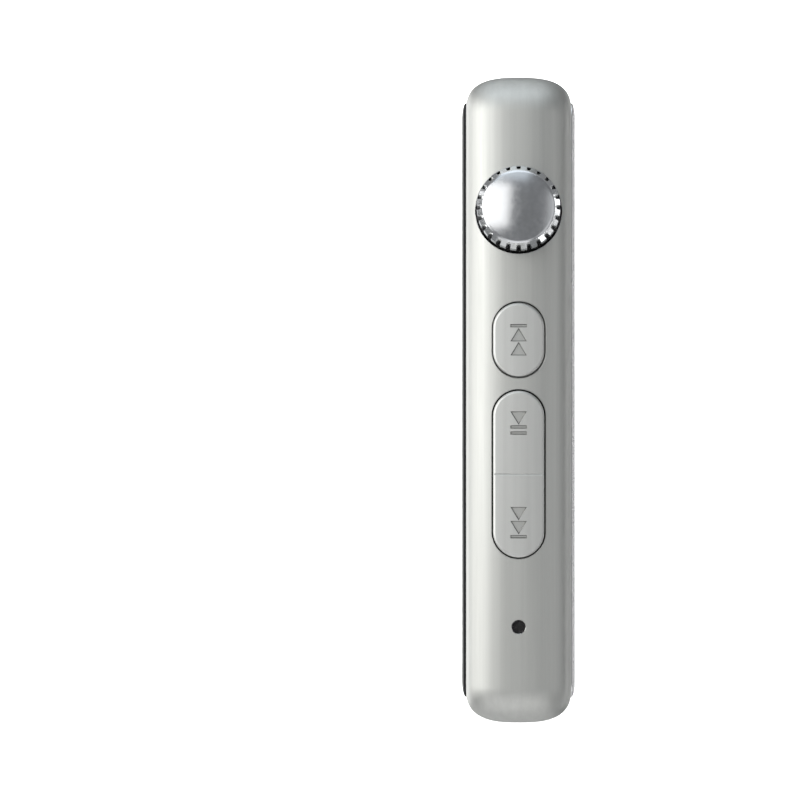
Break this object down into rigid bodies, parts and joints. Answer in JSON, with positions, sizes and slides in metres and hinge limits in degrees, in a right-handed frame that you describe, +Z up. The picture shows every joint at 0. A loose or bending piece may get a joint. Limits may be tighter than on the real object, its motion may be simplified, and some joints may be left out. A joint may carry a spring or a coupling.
{
  "type": "pocket digital audio player",
  "caption": "Slim aluminium pocket audio player and voice recorder with a glass front, a fluted push-and-turn volume knob, side track keys and a microphone hole.",
  "frame": {"origin": "centre of the flat strip on the bottom end", "axes": "+Z up the long side, -Y out of the glass front, +X out of the edge that carries the volume knob and keys"},
  "size_m": [0.0546, 0.0176, 0.1],
  "materials": {
    "aluminium_shell": "bead-blasted and finely brushed along its length, clear anodised",
    "key_metal": "finely brushed, bright bevelled edge",
    "knob_metal": "turned and satin polished, bright chamfer",
    "black_glass": "black-backed toughened glass, polished",
    "back_panel": "silver-backed panel, polished",
    "steel": "stamped and plated",
    "brass": "turned, plated",
    "black_plastic": "moulded, fine texture",
    "rubber": "moulded silicone, matt",
    "circuit_board": "solder mask over copper",
    "flex_film": "amber film over copper",
    "battery_foil": "laminated foil pouch",
    "adhesive": "foam tape"
  },
  "bodies": {
    "case": {"housing": "aluminium_shell", "front_glass": "black_glass", "glass_adhesive": "black_plastic", "back_plate": "back_panel", "back_adhesive": "black_plastic", "display_panel": "black_plastic", "display_flex": "flex_film", "mid_frame": "steel", "main_board": "circuit_board", "frame_screw_top_left": "steel", "frame_screw_top_right": "steel", "frame_screw_bottom_left": "steel", "frame_screw_bottom_right": "steel", "board_screw_top_left": "steel", "board_screw_top_right": "steel", "board_screw_bottom_left": "steel", "board_screw_bottom_right": "steel", "shield_can": "steel", "processor_chip": "black_plastic", "memory_chip": "black_plastic", "audio_converter_chip": "black_plastic", "amplifier_chip": "black_plastic", "crystal": "steel", "battery_connector": "adhesive", "display_connector": "black_plastic", "battery": "battery_foil", "battery_tape": "adhesive", "knob_seal_ring": "rubber", "encoder_nut": "steel", "encoder_bushing": "brass", "encoder_body": "black_plastic", "push_switch": "black_plastic", "key_retainer": "steel", "retainer_screw_bottom": "steel", "retainer_screw_top": "steel", "key_board": "circuit_board", "previous_switch": "black_plastic", "play_switch": "black_plastic", "next_switch": "black_plastic", "microphone_mesh": "black_plastic", "microphone_gasket": "rubber", "microphone": "steel", "headphone_jack": "black_plastic", "jack_contact": "brass", "usb_shell": "steel", "usb_tongue": "black_plastic", "card_socket": "steel"},
    "volume_push": {"push_plunger": "brass"},
    "volume_turn": {"volume_knob": "knob_metal", "encoder_shaft": "steel"},
    "previous_press": {"previous_key": "key_metal", "previous_plunger": "brass"},
    "track_rocker": {"play_next_rocker": "key_metal", "play_plunger": "brass", "next_plunger": "brass"}
  },
  "joints": [
    {"name": "volume_knob_push", "type": "slide", "parent": "case", "child": "volume_push", "axis": [-1, 0, 0], "range_m": [0, 0.0004], "stiffness_N_per_m": 3000},
    {"name": "volume_knob_turn", "type": "hinge", "parent": "volume_push", "child": "volume_turn", "pos_m": [0.0289, 0, 0.0787], "axis": [1, 0, 0], "continuous": true},
    {"name": "previous_key_press", "type": "slide", "parent": "case", "child": "previous_press", "axis": [-1, 0, 0], "range_m": [0, 0.0003], "stiffness_N_per_m": 2000},
    {"name": "track_rocker_tilt", "type": "hinge", "parent": "case", "child": "track_rocker", "pos_m": [0.02215, 0, 0.0388], "axis": [0, 1, 0], "range_deg": [-1.2, 1.2], "stiffness_Nm_per_rad": 0.3}
  ]
}
